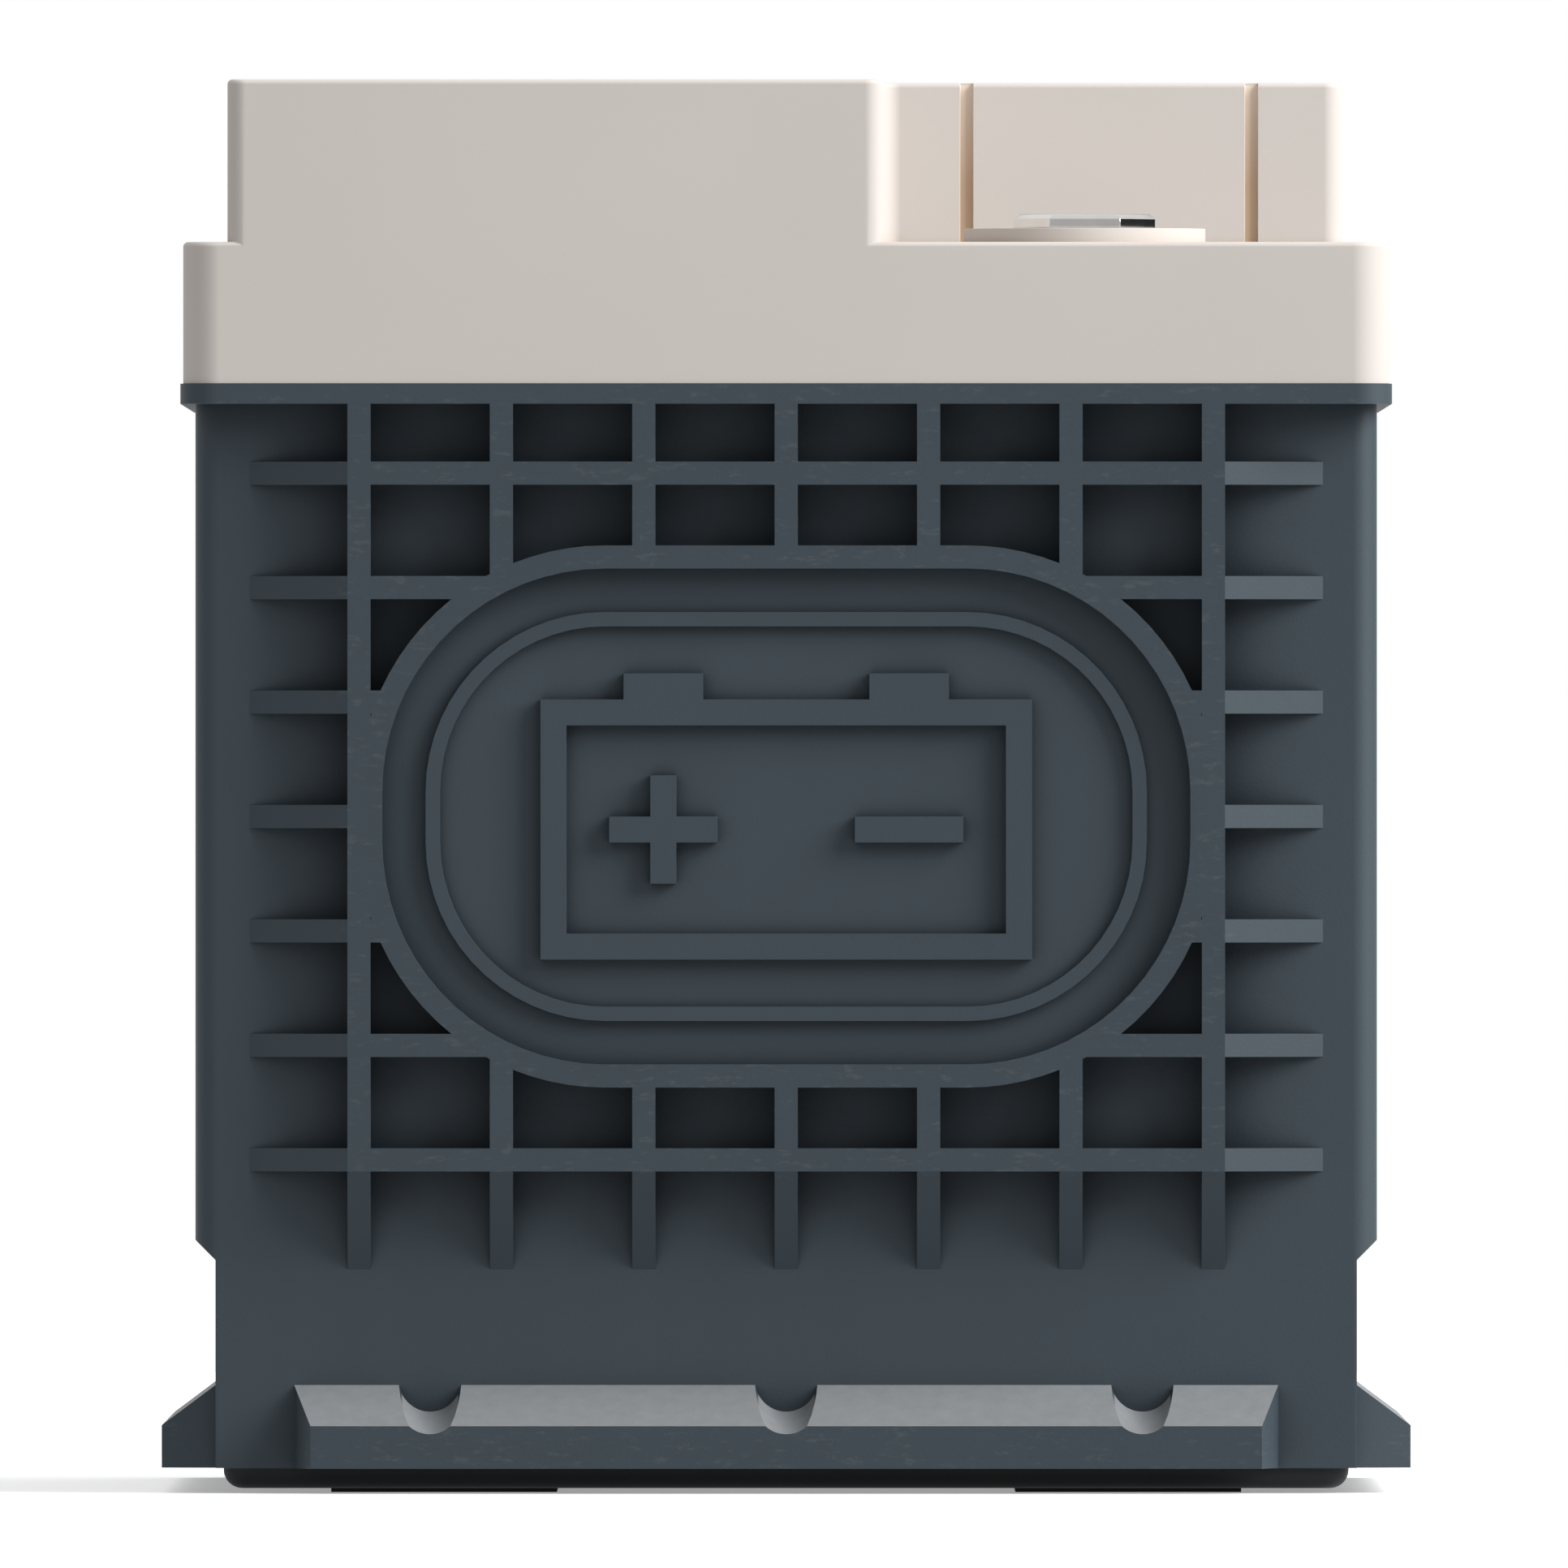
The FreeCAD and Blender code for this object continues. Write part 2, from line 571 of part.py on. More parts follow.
def plate(y, thickness, lug_x):
    """Flat plate with a lug at its top edge."""
    half = INNER_X - PLATE_SIDE_GAP
    bottom = FLOOR_Z + PLATE_FLOOR_GAP
    lug = LUG_WIDTH / 2
    outline = [(-half, bottom), (half, bottom), (half, PLATE_TOP), (lug_x + lug, PLATE_TOP),
               (lug_x + lug, STRAP_Z), (lug_x - lug, STRAP_Z), (lug_x - lug, PLATE_TOP),
               (-half, PLATE_TOP)]
    return prism([(x, y, z) for x, z in outline], (0, thickness, 0))


def plate_stack(index):
    """A cell's positive plates, negative plates and separators, as three lists."""
    low, high = cell_span(index)
    negatives_count = POSITIVE_PLATES + 1
    free = high - low - 2 * STACK_GAP
    lead = POSITIVE_PLATES * POSITIVE_THICKNESS + negatives_count * NEGATIVE_THICKNESS
    mat = (free - lead) / (2 * POSITIVE_PLATES)
    side = plate_side(index)
    mat_x = INNER_X - SEPARATOR_SIDE_GAP
    positives, negatives, mats = [], [], []
    y = low + STACK_GAP
    for i in range(negatives_count):
        negatives.append(plate(y, NEGATIVE_THICKNESS, -side * TERMINAL_X))
        y += NEGATIVE_THICKNESS
        if i == POSITIVE_PLATES:
            break
        mats.append(box((-mat_x, mat_x), (y, y + mat), (FLOOR_Z, PLATE_TOP + SEPARATOR_RISE)))
        y += mat
        positives.append(plate(y, POSITIVE_THICKNESS, side * TERMINAL_X))
        y += POSITIVE_THICKNESS
        mats.append(box((-mat_x, mat_x), (y, y + mat), (FLOOR_Z, PLATE_TOP + SEPARATOR_RISE)))
        y += mat
    return positives, negatives, mats


def make_strap(index, side, toward):
    """Bar over a cell's lugs. toward is -1 or 1 for a tab on that partition, 0 for none."""
    low, high = cell_span(index)
    x = (side * TERMINAL_X - STRAP_WIDTH / 2, side * TERMINAL_X + STRAP_WIDTH / 2)
    start = low if toward < 0 else low + STRAP_GAP
    end = high if toward > 0 else high - STRAP_GAP
    bar = box(x, (start, end), (STRAP_Z, STRAP_TOP))
    if toward == 0:
        return bar
    tab = (low, low + TAB_THICKNESS) if toward < 0 else (high - TAB_THICKNESS, high)
    return join(bar, [box(x, tab, (STRAP_Z, STRAP_TOP + TAB_RISE))])


def weld_bar(index, radius):
    """Round bar through the partition after a cell, where its negative strap meets the next cell."""
    start = Vector(-plate_side(index) * TERMINAL_X, cell_span(index)[1], WELD_Z)
    return Part.makeCylinder(radius, PARTITION, start, ALONG)


def cell_parts(index):
    """Node names and solids of one cell."""
    name = f"cell_{index + 1}"
    positives, negatives, mats = plate_stack(index)
    side = plate_side(index)
    before = 0 if index == 0 else -1
    after = 0 if index == CELLS - 1 else 1
    return {
        f"{name}_positive_plates": Part.makeCompound(positives),
        f"{name}_negative_plates": Part.makeCompound(negatives),
        f"{name}_separators": Part.makeCompound(mats),
        f"{name}_positive_strap": make_strap(index, side, before),
        f"{name}_negative_strap": make_strap(index, -side, after),
    }


def all_parts():
    parts = {"container": make_container(), "lid": make_lid(), "vent_cover": make_vent_cover()}
    for i, y in enumerate(CELL_CENTRES):
        parts[f"valve_cap_{i + 1}"] = make_valve_cap(y)
    for place, name in zip(arrestor_places(), ("front", "rear")):
        parts[f"flame_arrestor_{name}"] = make_arrestor(*place)
    for end, name in ((-1, "positive"), (1, "negative")):
        y = end * TERMINAL_Y
        parts[f"terminal_{name}"] = make_terminal(y)
        parts[f"terminal_post_{name}"] = make_post(y)
        parts[f"terminal_seal_{name}"] = make_seal(y)
    for i in range(CELLS):
        parts.update(cell_parts(i))
    for i in range(CELLS - 1):
        parts[f"intercell_weld_{i + 1}"] = weld_bar(i, WELD_RADIUS)
    return parts


os.makedirs("parts", exist_ok=True)
for node, shape in all_parts().items():
    shape.exportStep(f"parts/{node}.step")
    print(node, len(shape.Solids), "solids", round(shape.Volume / 1000, 2), "cm3")
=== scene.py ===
# %% [markdown]
# # A sealed battery in a plain studio
# The battery is a dark moulded container under a pale stepped lid, with a threaded metal insert in a
# corner recess at each end. The design fixes every size and place, so this script starts by loading it
# as a frame. From there it only makes surfaces: softened edges, finishes, light and a camera.

# %% Load the frame
import json
import math

import bmesh
import bpy
from mathutils import Matrix, Vector


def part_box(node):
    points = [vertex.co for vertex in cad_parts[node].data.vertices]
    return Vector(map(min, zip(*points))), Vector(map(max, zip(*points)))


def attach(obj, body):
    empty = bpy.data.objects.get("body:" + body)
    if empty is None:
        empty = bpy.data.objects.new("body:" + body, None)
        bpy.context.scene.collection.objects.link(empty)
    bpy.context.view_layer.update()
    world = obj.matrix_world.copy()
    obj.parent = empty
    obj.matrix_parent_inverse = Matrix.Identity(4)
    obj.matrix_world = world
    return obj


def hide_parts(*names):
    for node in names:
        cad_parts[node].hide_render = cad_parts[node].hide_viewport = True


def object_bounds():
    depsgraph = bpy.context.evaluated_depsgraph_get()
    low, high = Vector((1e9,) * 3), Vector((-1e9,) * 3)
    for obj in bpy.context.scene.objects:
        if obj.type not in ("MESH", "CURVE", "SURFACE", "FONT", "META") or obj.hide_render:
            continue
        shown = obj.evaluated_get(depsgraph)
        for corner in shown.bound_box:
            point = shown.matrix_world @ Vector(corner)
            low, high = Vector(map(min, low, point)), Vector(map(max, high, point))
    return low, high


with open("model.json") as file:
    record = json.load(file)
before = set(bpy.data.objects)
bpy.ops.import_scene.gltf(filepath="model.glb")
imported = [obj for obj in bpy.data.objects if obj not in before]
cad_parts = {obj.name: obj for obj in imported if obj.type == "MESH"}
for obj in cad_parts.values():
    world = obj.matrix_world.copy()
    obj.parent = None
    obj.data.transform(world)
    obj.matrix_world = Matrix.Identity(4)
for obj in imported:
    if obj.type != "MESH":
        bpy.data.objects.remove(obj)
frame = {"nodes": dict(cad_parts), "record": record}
cad_low, cad_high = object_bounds()
nodes = frame["nodes"]
MM = 0.001
RIM_X, RIM_Y, LID_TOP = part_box("lid")[1]
print("frame", len(nodes), "nodes,", [round(v / MM, 1) for v in cad_high - cad_low], "mm")

# %% [markdown]
# ## Helpers for materials
# A finish is a small calculation: noise plus streaks, times a strength. Written node by node it is hard
# to read, so a class wraps a socket, and arithmetic on it adds the Math nodes. Every other node comes
# from one method that takes the node's type, its settings and what goes into its sockets. The method
# belongs to a network, because a material and the studio's surround are both made of nodes.

# %% A number that changes over a surface
class Amount:
    """A shader socket that can be added, taken away and multiplied like a number."""

    def __init__(self, tree, socket):
        self.tree = tree
        self.socket = socket

    def math(self, operation, *values):
        made = self.tree.nodes.new("ShaderNodeMath")
        made.operation = operation
        for place, value in zip(made.inputs, values):
            plug(self.tree, place, value)
        return Amount(self.tree, made.outputs[0])

    def __add__(self, other):
        return self.math("ADD", self, other)

    def __radd__(self, other):
        return self.math("ADD", other, self)

    def __sub__(self, other):
        return self.math("SUBTRACT", self, other)

    def __rsub__(self, other):
        return self.math("SUBTRACT", other, self)

    def __mul__(self, other):
        return self.math("MULTIPLY", self, other)

    def __rmul__(self, other):
        return self.math("MULTIPLY", other, self)

    def clamped(self):
        return self.math("MINIMUM", self.math("MAXIMUM", self, 0.0), 1.0)


def plug(tree, place, value):
    """Link a socket to a place, or set the place to a plain value."""
    if isinstance(value, Amount):
        tree.links.new(value.socket, place)
    else:
        place.default_value = value


print("Amount: plus, minus and times add Math nodes")


# %% A network of nodes
class Network:
    """A node tree, and the one method that adds any node to it."""

    def __init__(self, tree):
        self.tree = tree

    def node(self, kind, settings=None, inputs=None, output=0):
        made = self.tree.nodes.new("ShaderNode" + kind)
        for name, value in (settings or {}).items():
            if name == "stops":
                ramp = made.color_ramp.elements
                while len(ramp) < len(value):
                    ramp.new(0.5)
                for stop, (place, level) in zip(ramp, value):
                    stop.position = place
                    stop.color = (level, level, level, 1.0)
            else:
                setattr(made, name, value)
        for name, value in (inputs or {}).items():
            plug(self.tree, made.inputs[name], value)
        return Amount(self.tree, made.outputs[output])

    def axes(self, vector):
        """The three numbers of a vector."""
        first = self.node("SeparateXYZ", inputs={"Vector": vector})
        return [Amount(self.tree, socket) for socket in first.socket.node.outputs]


def colour(red, green, blue):
    return (red, green, blue, 1.0)


print("Network: one method adds every other node")


# %% A material while it is being made
class Finish(Network):
    """A new material, with its Principled shader and the few nodes that every finish here needs."""

    def __init__(self, name):
        self.material = bpy.data.materials.new(name)
        self.material.use_nodes = True
        super().__init__(self.material.node_tree)
        self.shader = self.tree.nodes["Principled BSDF"]

    def place(self, scale=(1.0, 1.0, 1.0), location=(0.0, 0.0, 0.0)):
        """Object coordinates in metres, stretched and shifted."""
        here = self.node("TexCoord", output="Object")
        return self.node("Mapping", inputs={"Vector": here, "Scale": scale, "Location": location})

    def noise(self, where, size, detail=2.0, roughness=0.5):
        """Soft noise from 0 to 1 whose blobs are about the given size in metres."""
        return self.node("TexNoise", inputs={"Vector": where, "Scale": 1.0 / size, "Detail": detail,
                                             "Roughness": roughness}, output="Fac")

    def openness(self, reach):
        """1 on open faces, falling towards 0 where the piece's own walls stand within reach."""
        return self.node("AmbientOcclusion", {"samples": 8, "only_local": True}, {"Distance": reach},
                         output="AO")

    def steps(self, value, *stops):
        """Grey ramp through (place, level) stops."""
        return self.node("ValToRGB", {"stops": stops}, {"Fac": value})

    def blend(self, share, first, second):
        """Colour between two colours. A Mix node numbers its colour sockets 6, 7 and, going out, 2."""
        return self.node("Mix", {"data_type": "RGBA"}, {0: share, 6: first, 7: second}, output=2)

    def bump(self, height, depth, strength=1.0):
        """Normal for a height field from 0 to 1 whose full relief is depth metres."""
        return self.node("Bump", inputs={"Height": height, "Distance": depth, "Strength": strength},
                         output="Normal")

    def set(self, **sockets):
        """Set or link the shader's own sockets; an underscore stands for a space."""
        for name, value in sockets.items():
            plug(self.tree, self.shader.inputs[name.replace("_", " ")], value)
        print(self.material.name, len(self.tree.nodes), "nodes")
        return self.material


finishes = {}
print("Finish: place, noise, openness, steps, blend and bump")

# %% [markdown]
# ## Container plastic
# The container is moulded in dark blue-grey polypropylene. Its mould is spark-eroded, which leaves a
# fine grain that scatters light, and the pigment clouds a little where the melt flowed. Deep in the
# pockets little light gets in, and a painted shade, from a mask of how open each spot is, darkens them
# further. An image of plastic could be wrapped on, but noise on object coordinates needs no unwrapping and
# keeps its scale in millimetres on every face.
#
# Three marks go on top. A painted highlight turns the ledges' upward slopes a pale, neutral grey, where
# the light from above falls on them. The parts that stick out furthest, the rim and the ledges' faces, carry
# faint scuffs from handling. Below the ledges the foot is painted almost black, a painted shade.

# %% Container plastic
SLOPE_TOP = 15.2 * MM          # the ledges' slopes end just below this height
SLOPE_TILT = 0.4               # a slope's normal points up by more than this
FOOT_TOP = 3.35 * MM           # the foot ends at this height
PROUD = 0.5                    # millimetres: faces that come this near the lid's sides get scuffed


def case_plastic():
    finish = Finish("case_plastic")
    here = finish.place()
    clouds = finish.noise(here, 30 * MM, detail=3.0)
    flow = finish.noise(finish.place(scale=(1.0, 1.0, 0.12)), 5 * MM, detail=3.0)
    grain = finish.noise(here, 0.45 * MM, detail=2.0, roughness=0.6)
    shade = (clouds * 0.6 + flow * 0.4).clamped()
    plain = finish.blend(shade, colour(0.028, 0.039, 0.048), colour(0.034, 0.047, 0.057))
    # painted shade: the colour falls to near black where the pockets' own walls stand close
    painted_pocket_shade = finish.steps(finish.openness(8 * MM), (0.30, 1.0), (0.85, 0.0))
    base = finish.blend(painted_pocket_shade * 0.86, plain, colour(0.004, 0.009, 0.014))

    x, y, z = finish.axes(here)
    tilt = finish.axes(finish.node("NewGeometry", output="Normal"))[2]
    # painted highlight: faces that point upwards, below SLOPE_TOP, are lightened to a pale grey
    low = finish.steps((SLOPE_TOP - z) * (1.0 / MM), (0.0, 0.0), (0.3, 1.0))
    slope = finish.steps(tilt, (SLOPE_TILT, 0.0), (SLOPE_TILT + 0.1, 1.0)) * low
    painted_slope_highlight = slope * (0.80 + finish.noise(here, 2 * MM, detail=4.0) * 0.30)
    base = finish.blend(painted_slope_highlight.clamped(), base, colour(0.172, 0.180, 0.186))
    # painted shade: everything below FOOT_TOP is darkened to near black
    painted_foot_shade = finish.steps((FOOT_TOP - z) * (1.0 / MM), (0.0, 0.0), (0.2, 1.0))
    base = finish.blend(painted_foot_shade * 0.9, base, colour(0.001, 0.001, 0.001))

    reach_x = (x.math("ABSOLUTE", x) - RIM_X) * (1.0 / MM)
    reach_y = (y.math("ABSOLUTE", y) - RIM_Y) * (1.0 / MM)
    proud = finish.steps(reach_x.math("MAXIMUM", reach_x, reach_y) + PROUD, (0.0, 0.0), (0.4, 1.0))
    marks = finish.steps(finish.noise(finish.place(scale=(1.0, 1.0, 3.0)), 3 * MM, detail=8.0,
                                      roughness=0.7), (0.56, 0.0), (0.66, 1.0))
    scuff = proud * marks
    base = finish.blend(scuff * 0.07, base, colour(0.26, 0.27, 0.28))
    rough = 0.46 + grain * 0.10 + clouds * 0.06 + scuff * 0.12
    return finish.set(Base_Color=base, Roughness=rough, Specular_IOR_Level=0.2,
                      Normal=finish.bump(grain * 0.8 + flow * 0.2, 0.030 * MM, 0.8))


finishes["case_plastic"] = case_plastic()

# %% [markdown]
# ## Lid plastic
# The lid is the same plastic in a warm off-white. Its mould is smoother, so it has a soft sheen, and its
# surface waves very slightly where the thick and thin walls shrank by different amounts. Inside corners get a
# painted warm shade, for light that reaches them only after bouncing off the cream plastic. The guide slots
# in the terminal recesses get a painted brown shade that darkens towards the bottom, and they are found by
# their place.

# %% Lid plastic
SLOT_MOUTH = RIM_Y - 56.05 * MM     # the recesses' back walls, from the middle
SLOT_LIMIT = 75.0 * MM              # the slots lie nearer the middle than this
SLOT_SHADE_DEPTH = 14.06 * MM             # the painted shade in the slots darkens from the lid's top down to this depth


def lid_plastic():
    finish = Finish("lid_plastic")
    here = finish.place()
    clouds = finish.noise(here, 45 * MM, detail=2.0)
    waves = finish.noise(here, 14 * MM, detail=1.0)
    grain = finish.noise(here, 0.35 * MM, detail=2.0, roughness=0.55)
    base = finish.blend(clouds, colour(0.440, 0.409, 0.384), colour(0.467, 0.435, 0.410))
    # painted shade: inside corners are tinted brown where the lid's own walls stand within 3 mm
    painted_corner_shade = finish.steps(finish.openness(3 * MM), (0.45, 1.0), (0.72, 0.0))
    base = finish.blend(painted_corner_shade * 0.5, base, colour(0.40, 0.30, 0.22))
    x, y, z = finish.axes(here)
    behind = (SLOT_MOUTH - y.math("ABSOLUTE", y)) * (0.5 / MM)     # in steps of 2 mm: a ramp ends at 1
    inside = finish.steps(behind, (0.06, 0.0), (0.12, 1.0), (0.60, 1.0), (0.64, 0.0))
    between = finish.steps(x * (1.0 / SLOT_LIMIT), (0.20, 0.0), (0.21, 1.0), (0.98, 1.0), (1.0, 0.0))
    # painted shade: the guide slots darken to brown towards the bottom, where less light reaches
    below = ((LID_TOP - z) * (1.0 / SLOT_SHADE_DEPTH)).clamped()
    slot = inside * between * finish.steps(below, (0.01, 0.0), (0.03, 1.0))
    painted_slot_shade = finish.blend(below, colour(0.64, 0.55, 0.47), colour(0.50, 0.38, 0.275))
    base = finish.blend(slot, base, painted_slot_shade)
    speck = finish.steps(finish.noise(here, 1.2 * MM, detail=6.0, roughness=0.7), (0.66, 0.0), (0.74, 1.0))
    base = finish.blend(speck * 0.10, base, colour(0.22, 0.19, 0.16))
    rough = 0.66 + grain * 0.08 + waves * 0.06 + speck * 0.10
    return finish.set(Base_Color=base, Roughness=rough, Specular_IOR_Level=0.08,
                      Normal=finish.bump(grain * 0.5 + waves * 0.5, 0.018 * MM, 0.7))


finishes["lid_plastic"] = lid_plastic()

# %% [markdown]
# ## Metals
# The terminal inserts are turned brass with a bright tin plate: the cutter leaves fine rings round the
# axis, and handling leaves faint smudges. The straps, posts and welds are cast lead, which is dull and
# slightly pitted. Rings need a distance from the axis, so the mapping is moved there first.

# %% Terminal metal, round each insert's axis
RING_SCALE = 900.0             # the Wave texture's own scale, for rings a fraction of a millimetre apart


def middle(name):
    low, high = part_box(name)
    return (low + high) / 2


def terminal_metal(name, centre):
    finish = Finish("terminal_metal_" + name)
    here = finish.place(location=(-centre.x, -centre.y, 0.0), scale=(1.0, 1.0, 0.0))
    rings = finish.node("TexWave", {"wave_type": "RINGS", "rings_direction": "SPHERICAL"},
                        {"Vector": here, "Scale": RING_SCALE, "Distortion": 0.6, "Detail": 1.0}, output="Fac")
    smudge = finish.noise(finish.place(), 3 * MM, detail=3.0)
    base = finish.blend(smudge, colour(0.56, 0.555, 0.545), colour(0.66, 0.655, 0.645))
    rough = 0.07 + smudge * 0.09
    return finish.set(Base_Color=base, Metallic=1.0, Roughness=rough,
                      Normal=finish.bump(rings, 0.004 * MM, 0.4))


for name in ("terminal_positive", "terminal_negative"):
    finishes[name] = terminal_metal(name, middle(name))

# %% Cast lead
def cast_lead():
    finish = Finish("cast_lead")
    here = finish.place()
    pits = finish.noise(here, 0.8 * MM, detail=4.0, roughness=0.65)
    dull = finish.noise(here, 6 * MM, detail=2.0)
    base = finish.blend(dull, colour(0.20, 0.205, 0.22), colour(0.32, 0.325, 0.34))
    return finish.set(Base_Color=base, Metallic=1.0, Roughness=0.45 + dull * 0.2,
                      Normal=finish.bump(pits, 0.05 * MM))


finishes["lead"] = cast_lead()

# %% [markdown]
# ## Plates, mats and rubber
# A plate is a lead grid filled with paste: brown lead dioxide on the positive plates, grey spongy lead on
# the negative ones, and the grid's wires show as faint raised lines. The mats between them are glass
# fibre, and the valve caps and seals are black rubber. None of them shows from outside, but each is a
# real piece of the battery and has its own finish.

# %% Pasted plates
def pasted_plate(name, dark, light):
    finish = Finish(name)
    here = finish.place()
    grit = finish.noise(here, 0.6 * MM, detail=5.0, roughness=0.7)
    across = finish.node("TexWave", {"bands_direction": "X"}, {"Vector": here, "Scale": 50.0}, output="Fac")
    down = finish.node("TexWave", {"bands_direction": "Z"}, {"Vector": here, "Scale": 100.0}, output="Fac")
    wires = finish.steps(across.math("MAXIMUM", across, down), (0.9, 0.0), (0.98, 1.0))
    base = finish.blend((grit + wires * 0.3).clamped(), colour(*dark), colour(*light))
    return finish.set(Base_Color=base, Roughness=0.85 - wires * 0.2,
                      Normal=finish.bump(grit * 0.4 + wires * 0.6, 0.2 * MM))


finishes["positive_paste"] = pasted_plate("positive_paste", (0.045, 0.022, 0.014), (0.10, 0.05, 0.032))
finishes["negative_paste"] = pasted_plate("negative_paste", (0.10, 0.105, 0.115), (0.20, 0.205, 0.22))

# %% Glass mat
def glass_mat():
    finish = Finish("glass_mat")
    fibres = finish.noise(finish.place(scale=(1.0, 1.0, 0.25)), 0.3 * MM, detail=5.0, roughness=0.75)
    base = finish.blend(fibres, colour(0.66, 0.66, 0.64), colour(0.86, 0.86, 0.84))
    return finish.set(Base_Color=base, Roughness=0.9, Normal=finish.bump(fibres, 0.15 * MM))


finishes["glass_mat"] = glass_mat()

# %% Rubber and porous plastic
def rubber(name):
    finish = Finish(name)
    bloom = finish.noise(finish.place(), 2 * MM, detail=4.0)
    base = finish.blend(bloom, colour(0.012, 0.012, 0.012), colour(0.03, 0.03, 0.032))
    return finish.set(Base_Color=base, Roughness=0.6 + bloom * 0.2, Normal=finish.bump(bloom, 0.03 * MM))


def porous_plastic():
    finish = Finish("porous_plastic")
    pores = finish.node("TexVoronoi", inputs={"Vector": finish.place(), "Scale": 1.0 / (0.5 * MM)},
                        output="Distance")
    base = finish.blend(pores, colour(0.60, 0.60, 0.58), colour(0.84, 0.84, 0.82))
    return finish.set(Base_Color=base, Roughness=0.9, Normal=finish.bump(pores, 0.1 * MM))


for name in ("valve_rubber", "seal_rubber"):
    finishes[name] = rubber(name)
finishes["porous_plastic"] = porous_plastic()

# %% [markdown]
# ## Every node gets its finish
# The design's record says which slot each node's material fills, so the finishes are handed out by slot.
# Only the two inserts have a finish of their own, since their turned rings follow their own axes.

# %% Give every node its finish
for part in frame["record"]["subparts"]:
    name = part["node"]
    nodes[name].data.materials[0] = finishes.get(name) or finishes[part["material_slot"]]
print(len(finishes), "finishes on", len(nodes), "nodes")

# %% [markdown]
# ## Softened mouldings
# No moulded edge is knife sharp: polypropylene leaves the tool with a radius of a few tenths of a
# millimetre, and that radius is what catches the light along every rib. The design's meshes are plain, so
# each visible moulding is copied, its loose triangles are merged, flat regions are dissolved back into
# whole faces, and a Bevel modifier rounds the edges. The copy stands for the node, which itself is never
# touched.

# %% Copy a node with softened edges
SHARP = 15.0          # degrees: the ribs' run-outs meet their tops at about twenty
SAME_POINT = 0.002 * MM
FLAT = 0.5            # degrees: triangles that meet at less than this are one face


def softened(name, material, radius, segments=2):
    mesh = bmesh.new()
    mesh.from_mesh(nodes[name].data)
    bmesh.ops.remove_doubles(mesh, verts=mesh.verts, dist=SAME_POINT)
    bmesh.ops.dissolve_limit(mesh, angle_limit=math.radians(FLAT), verts=mesh.verts, edges=mesh.edges)
    for face in mesh.faces:
        face.smooth = True
    data = bpy.data.meshes.new(name + "_moulding")
    mesh.to_mesh(data)
    mesh.free()
    data.materials.append(material)
    piece = bpy.data.objects.new(name + "_moulding", data)
    bpy.context.scene.collection.objects.link(piece)
    bevel = piece.modifiers.new("edge_radius", "BEVEL")
    bevel.width = radius
    bevel.segments = segments
    bevel.limit_method = "ANGLE"
    bevel.angle_limit = math.radians(SHARP)
    bevel.use_clamp_overlap = True
    even = piece.modifiers.new("flat_faces", "WEIGHTED_NORMAL")
    even.mode = "FACE_AREA"
    even.weight = 100
    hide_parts(name)
    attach(piece, "casing")
    print(piece.name, len(data.vertices), "vertices,", len(data.polygons), "faces")
    return piece


softened("container", finishes["case_plastic"], 0.30 * MM)
softened("lid", finishes["lid_plastic"], 0.45 * MM, segments=3)
softened("vent_cover", finishes["lid_plastic"], 0.30 * MM)

# %% [markdown]
# ## Threaded inserts
# A cable lug is clamped by an M6 screw in the insert's bore. The design has a plain bore of the core
# diameter, 5 mm. Here the insert's copy has its bore opened to the thread's outer diameter, and a ridge of
# triangular section is spun up it as a helix of 1 mm pitch, back in to the core diameter. The Screw
# modifier could turn the same ridge, but a spin leaves a closed mesh that needs nothing live.

# %% A screw thread's ridge
CORE = 2.5 * MM
OUTER = 3.0 * MM
THREAD = 1.0 * MM              # M6 coarse pitch
RIDGE_FOOT = 0.8 * THREAD
STEPS = 32                     # facets in one turn
RIDGE_SHARP = 40.0             # degrees: the ridge's crest stays an edge, its facets don't


def screw_thread(name, centre, top, bottom):
    ridge = bmesh.new()
    low = Vector((centre.x + OUTER, centre.y, bottom))
    crest = low + Vector((CORE - OUTER, 0.0, RIDGE_FOOT / 2))
    corners = [low, crest, low + Vector((0.0, 0.0, RIDGE_FOOT))]
    section = ridge.faces.new([ridge.verts.new(corner) for corner in corners])
    turns = int((top - bottom) / THREAD)
    bmesh.ops.spin(ridge, geom=[section, *section.edges, *section.verts], cent=centre, axis=(0, 0, 1),
                   dvec=(0, 0, THREAD / STEPS), angle=math.radians(360 * turns), steps=STEPS * turns,
                   use_merge=False)
    bmesh.ops.recalc_face_normals(ridge, faces=ridge.faces)
    for face in ridge.faces:
        face.smooth = True
    data = bpy.data.meshes.new(name + "_thread")
    ridge.to_mesh(data)
    ridge.free()
    data.set_sharp_from_angle(angle=math.radians(RIDGE_SHARP))
    data.materials.append(finishes[name])
    piece = bpy.data.objects.new(name + "_thread", data)
    bpy.context.scene.collection.objects.link(piece)
    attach(piece, "casing")
    print(piece.name, turns, "turns")


print("ridge", round(RIDGE_FOOT / MM, 2), "mm wide and", round((OUTER - CORE) / MM, 2), "mm high")

# %% Open each bore and thread it
NEAR = 0.1 * MM
LEAD_IN = 0.9 * MM             # plain bore above the thread


def from_axis(vertex, axis):
    """The level step from an upright axis out to a vertex."""
    away = vertex.co - axis
    away.z = 0.0
    return away


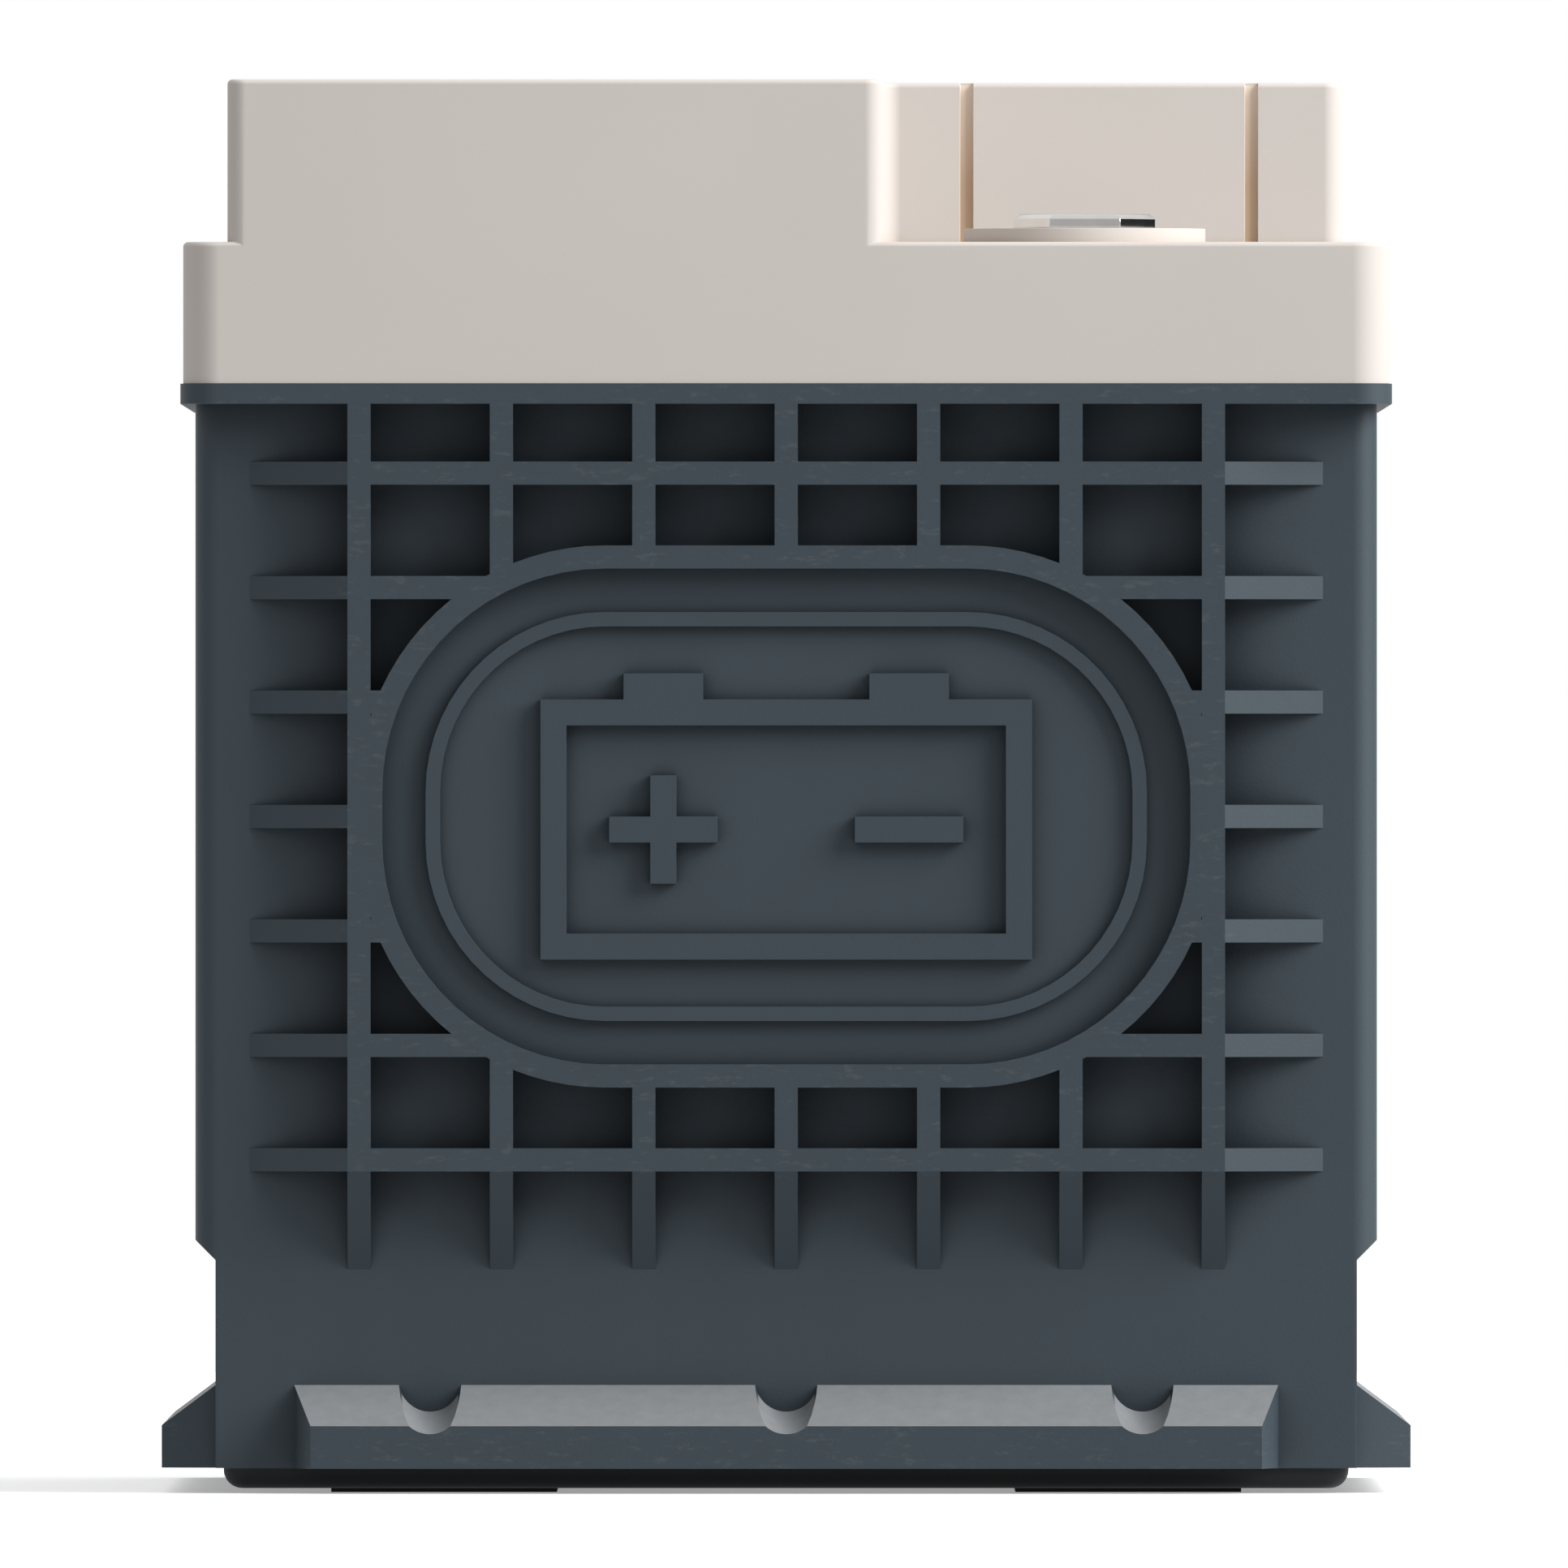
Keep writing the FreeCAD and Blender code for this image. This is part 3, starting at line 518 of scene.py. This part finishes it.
for name in ("terminal_positive", "terminal_negative"):
    insert = softened(name, finishes[name], 0.12 * MM)
    centre = middle(name)
    axis = Vector((centre.x, centre.y, 0.0))
    wall = [vertex for vertex in insert.data.vertices if from_axis(vertex, axis).length < CORE + NEAR]
    for vertex in wall:
        away = from_axis(vertex, axis)
        if away.length > CORE - NEAR:
            vertex.co += away.normalized() * (OUTER - CORE)
    top = max(vertex.co.z for vertex in wall)
    bottom = min(vertex.co.z for vertex in wall)
    print(name, "bore", len(wall), "vertices, from", round(bottom / MM, 1), "to", round(top / MM, 1))
    screw_thread(name, axis, top - LEAD_IN, bottom)

# %% [markdown]
# ## Floor
# A wide pale floor carries the battery. It reaches far past the view, so that no edge shows. Like a light
# table it glows a little, which thins the shadow, and its own light isn't thrown on the battery. It lies a
# tenth of a millimetre under the feet, so that the two flat surfaces don't fight.

# %% Floor
FLOOR_RADIUS = 2.0
FLOOR_GAP = 0.1 * MM


def make_floor():
    finish = Finish("studio_floor")
    soft = finish.noise(finish.place(), 400 * MM)
    base = finish.blend(soft, colour(0.80, 0.80, 0.80), colour(0.84, 0.84, 0.84))
    material = finish.set(Base_Color=base, Roughness=0.9, Emission_Strength=0.33)
    mesh = bmesh.new()
    bmesh.ops.create_circle(mesh, cap_ends=True, segments=96, radius=FLOOR_RADIUS,
                            matrix=Matrix.Translation((0.0, 0.0, -FLOOR_GAP)))
    data = bpy.data.meshes.new("studio_floor")
    mesh.to_mesh(data)
    mesh.free()
    data.materials.append(material)
    floor = bpy.data.objects.new("studio_floor", data)
    bpy.context.scene.collection.objects.link(floor)
    floor.visible_diffuse = False
    print("floor", FLOOR_RADIUS, "m in radius")


make_floor()

# %% [markdown]
# ## Light
# The light is a plain soft studio. The surround is a smooth gradient: brightest above and behind the
# battery, dimmer in front and below. Light that comes in flat across the end face leaves the bottoms of the
# pockets dark and the ribs bright, which a light beside the camera would not do. The surround is white
# where the camera looks straight at it, as a studio's paper is.

# %% Surround
def make_surround(level, gradient):
    world = bpy.data.worlds.new("studio")
    world.use_nodes = True
    network = Network(world.node_tree)
    x, y, z = network.axes(network.node("TexCoord", output="Generated"))
    glow = level + x * gradient[0] + y * gradient[1] + z * gradient[2]
    seen = network.node("LightPath", output="Is Camera Ray")
    background = network.tree.nodes["Background"]
    plug(network.tree, background.inputs["Strength"], glow * (1.0 - seen) + seen)
    background.inputs["Color"].default_value = colour(1.0, 1.0, 1.0)
    bpy.context.scene.world = world
    print("surround", round(level - gradient[1], 2), "in front,", round(level + gradient[1], 2),
          "behind,", round(level + gradient[2], 2), "above,", round(level - gradient[2], 2), "below")


make_surround(level=0.76, gradient=(-0.07, 0.18, 0.26))

# %% [markdown]
# ## A lamp and a black card
# One large lamp high on the right adds a soft direction. Polished metal needs something dark to mirror, or
# it looks like plain white plastic, so a black card stands on the right, a little behind, for the hexagons.
# Both are turned towards the battery's middle. The card is hidden from every ray but a mirrored one, so it
# takes no light from anything else.

# %% Lamp
def facing(toward, distance):
    """A place at a distance from the battery's middle, with its Z axis pointing away from the battery."""
    direction = Vector(toward).normalized()
    turn = direction.to_track_quat("Z", "Y").to_matrix().to_4x4()
    return Matrix.Translation((cad_low + cad_high) / 2 + direction * distance) @ turn


def make_lamp(name, toward, distance, size, power):
    light = bpy.data.lights.new(name, "AREA")
    light.shape = "DISK"
    light.size = size
    light.energy = power
    lamp = bpy.data.objects.new(name, light)
    lamp.matrix_world = facing(toward, distance)
    bpy.context.scene.collection.objects.link(lamp)
    print(name, "at", [round(v, 2) for v in lamp.matrix_world.translation], "m")


make_lamp("key_lamp", toward=(0.80, -0.38, 0.50), distance=2.0, size=1.5, power=76.0)


# %% Black card
def make_card(toward, distance, half):
    finish = Finish("black_card")
    patchy = finish.noise(finish.place(), 50 * MM)
    base = finish.blend(patchy, colour(0.004, 0.004, 0.004), colour(0.006, 0.006, 0.006))
    material = finish.set(Base_Color=base, Roughness=1.0)
    mesh = bmesh.new()
    bmesh.ops.create_grid(mesh, x_segments=1, y_segments=1, size=half, matrix=facing(toward, distance))
    data = bpy.data.meshes.new("black_card")
    mesh.to_mesh(data)
    mesh.free()
    data.materials.append(material)
    card = bpy.data.objects.new("black_card", data)
    bpy.context.scene.collection.objects.link(card)
    for ray in ("camera", "diffuse", "shadow", "transmission"):
        setattr(card, "visible_" + ray, False)
    print("card", distance, "m away")


make_card(toward=(0.866, 0.5, 0.05), distance=1.2, half=0.42)

# %% [markdown]
# ## Camera
# The view is square on to the -Y end, from far away through a very long lens, so that the end face reads
# like a drawing and its depth hardly shows. The distance follows from how much of the width the battery
# fills.

# %% Camera
LENS = 1700.0                  # millimetres
SENSOR = 36.0                  # millimetres
VIEW_TO_WIDTH = 1.2537         # the view's width over the battery's
LEDGE = 2.9 * MM               # the ledge stands this far out from the lattice
ASIDE = 0.3 * MM               # the camera stands this far left of the middle and above it
width = cad_high.x - cad_low.x
end_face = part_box("container")[0].y + LEDGE
distance = VIEW_TO_WIDTH * width * LENS / SENSOR
camera_data = bpy.data.cameras.new("camera")
camera_data.lens = LENS
camera_data.sensor_width = SENSOR
camera = bpy.data.objects.new("camera", camera_data)
camera.location = (-ASIDE, end_face - distance, (cad_low.z + cad_high.z) / 2 + ASIDE)
camera.rotation_euler = (math.radians(90), 0.0, 0.0)
bpy.context.scene.collection.objects.link(camera)
bpy.context.scene.camera = camera
bpy.context.scene.view_settings.view_transform = "Standard"
print("camera", round(distance, 3), "m away")
